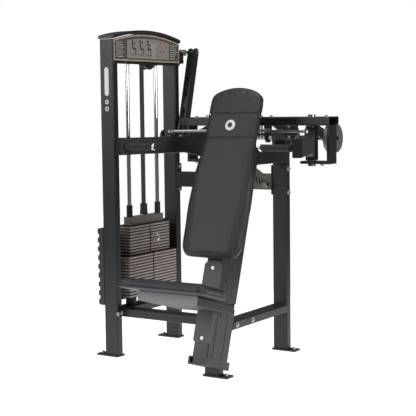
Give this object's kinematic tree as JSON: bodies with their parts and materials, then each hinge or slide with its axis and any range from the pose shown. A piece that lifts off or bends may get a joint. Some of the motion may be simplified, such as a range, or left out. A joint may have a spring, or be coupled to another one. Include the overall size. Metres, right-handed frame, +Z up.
{
  "type": "chest press machine",
  "caption": "Pin-loaded chest press machine: leaning back pad, adjustable seat, linked lever arms that converge, and a weight stack in a side tower.",
  "frame": {"origin": "on the floor, in the middle of the underside of the seat column's foot, in the user's middle plane", "axes": "+X to the side away from the weight tower, +Y from the user's front towards the rear leg, +Z up"},
  "size_m": [1.2516, 1.5082, 1.6299],
  "materials": {
    "black_frame": "satin fine-texture powder coat",
    "grey_textured": "light grey fine texture",
    "plate_steel": "raw rolled steel plate, brown-grey",
    "head_steel": "dark grey satin",
    "disc_iron": "grey-brown",
    "chrome": "polished",
    "bright_steel": "turned steel",
    "buffer_rubber": "matte",
    "grip_rubber": "ribbed matte",
    "belt_black": "flat woven and coated belt",
    "pulley_nylon": "moulded",
    "black_plastic": "moulded",
    "placard_print": "printed sheet",
    "black_vinyl": "grained upholstery vinyl over foam",
    "board_wood": "black painted plywood"
  },
  "bodies": {
    "frame": {"back_board": "board_wood", "back_pad": "black_vinyl", "belt_over_pulley": "belt_black", "column_back": "black_frame", "column_guide": "black_frame", "column_main": "black_frame", "column_saddle": "black_frame", "column_strip": "grey_textured", "floor_plates": "black_frame", "frame_bolts": "bright_steel", "front_upright": "black_frame", "guide_rods": "chrome", "lower_crossbeam": "black_frame", "pad_brackets": "black_frame", "placard": "placard_print", "pulley_axles": "bright_steel", "pulley_brackets": "black_frame", "rear_base_beam": "black_frame", "rear_leg": "black_frame", "rear_upright": "black_frame", "resting_plates": "plate_steel", "shaft_bearings": "black_frame", "side_base_beam": "black_frame", "stack_buffers": "buffer_rubber", "stack_guard": "black_plastic", "start_plate": "plate_steel", "top_link_beam": "black_frame", "tower_base": "black_frame", "tower_cap": "black_plastic"},
    "stack": {"head_plate": "head_steel", "lifted_plates": "plate_steel", "selector_stem": "bright_steel", "head_fittings": "black_frame", "belt_front_run": "belt_black"},
    "selector": {"selector_pin": "chrome"},
    "top_pulley": {"top_pulley": "pulley_nylon"},
    "rear_pulley": {"rear_pulley": "pulley_nylon"},
    "press": {"main_shaft": "bright_steel", "torque_frame": "black_frame", "yoke_top_beam": "black_frame", "yoke_brackets": "black_frame", "belt_lever": "black_frame", "belt_anchor": "bright_steel", "belt_rear_run": "belt_black", "counterweights": "disc_iron", "counterweight_arms": "black_frame", "pivot_axles": "bright_steel"},
    "left_press_arm": {"left_arm": "black_frame", "left_grip": "grip_rubber"},
    "right_press_arm": {"right_arm": "black_frame", "right_grip": "grip_rubber"},
    "crank": {"sync_crank": "black_frame"},
    "left_rod": {"left_tie_rod": "bright_steel"},
    "right_rod": {"right_tie_rod": "bright_steel"},
    "seat": {"seat_pad": "black_vinyl", "seat_carrier": "grey_textured", "seat_sleeve": "black_frame"},
    "seat_pull_pin": {"seat_pin": "chrome"},
    "start_pull_pin": {"range_pin": "chrome"}
  },
  "joints": [
    {"name": "press_swing", "type": "hinge", "parent": "frame", "child": "press", "pos_m": [0, 0.658, 1.085], "axis": [-1, 0, 0], "range_deg": [0, 45]},
    {"name": "stack_lift", "type": "slide", "parent": "frame", "child": "stack", "axis": [0, 0, 1], "range_m": [0, 0.351], "deforming": ["belt_front_run"]},
    {"name": "selector_pull", "type": "slide", "parent": "stack", "child": "selector", "axis": [1, 0, 0], "range_m": [0, 0.08]},
    {"name": "top_pulley_turn", "type": "hinge", "parent": "frame", "child": "top_pulley", "pos_m": [-0.666, 0.439, 1.485], "axis": [-1, 0, 0], "range_deg": [0, 430]},
    {"name": "rear_pulley_turn", "type": "hinge", "parent": "frame", "child": "rear_pulley", "pos_m": [-0.666, 0.712, 1.502], "axis": [-1, 0, 0], "range_deg": [0, 670]},
    {"name": "left_arm_turn", "type": "hinge", "parent": "press", "child": "left_press_arm", "pos_m": [-0.285, 0.439, 1.06], "axis": [0, 0, 1], "range_deg": [0, 6.05]},
    {"name": "right_arm_turn", "type": "hinge", "parent": "press", "child": "right_press_arm", "pos_m": [0.285, 0.439, 1.06], "axis": [0, 0, -1], "range_deg": [0, 6.05]},
    {"name": "crank_turn", "type": "hinge", "parent": "press", "child": "crank", "pos_m": [0, 0.439, 1.105], "axis": [0, 0, -1], "range_deg": [0, 15.6]},
    {"name": "left_rod_turn", "type": "hinge", "parent": "left_press_arm", "child": "left_rod", "pos_m": [-0.369, 0.214, 1.124], "axis": [0, 0, 1], "range_deg": [-5.3, 0]},
    {"name": "right_rod_turn", "type": "hinge", "parent": "right_press_arm", "child": "right_rod", "pos_m": [0.369, 0.214, 1.124], "axis": [0, 0, 1], "range_deg": [0, 4.5]},
    {"name": "seat_slide", "type": "slide", "parent": "frame", "child": "seat", "axis": [0, 0.309, 0.9511], "range_m": [-0.04, 0.11]},
    {"name": "seat_pin_pull", "type": "slide", "parent": "seat", "child": "seat_pull_pin", "axis": [1, 0, 0], "range_m": [-0.008, 0.004]},
    {"name": "start_pin_pull", "type": "slide", "parent": "frame", "child": "start_pull_pin", "axis": [0, -1, 0], "range_m": [0, 0.016], "stiffness_N_per_m": 800, "springref_m": -0.004}
  ],
  "couplings": [
    {"joint": "stack_lift", "follows": "press_swing", "m_per_rad": 0.4456},
    {"joint": "top_pulley_turn", "follows": "press_swing", "ratio": 9.481},
    {"joint": "rear_pulley_turn", "follows": "press_swing", "ratio": 14.853},
    {"joint": "left_arm_turn", "follows": "press_swing", "ratio": 0.1333},
    {"joint": "right_arm_turn", "follows": "press_swing", "ratio": 0.1333},
    {"joint": "crank_turn", "follows": "press_swing", "ratio": 0.344},
    {"joint": "left_rod_turn", "follows": "press_swing", "ratio": -0.1164},
    {"joint": "right_rod_turn", "follows": "press_swing", "ratio": 0.098}
  ]
}
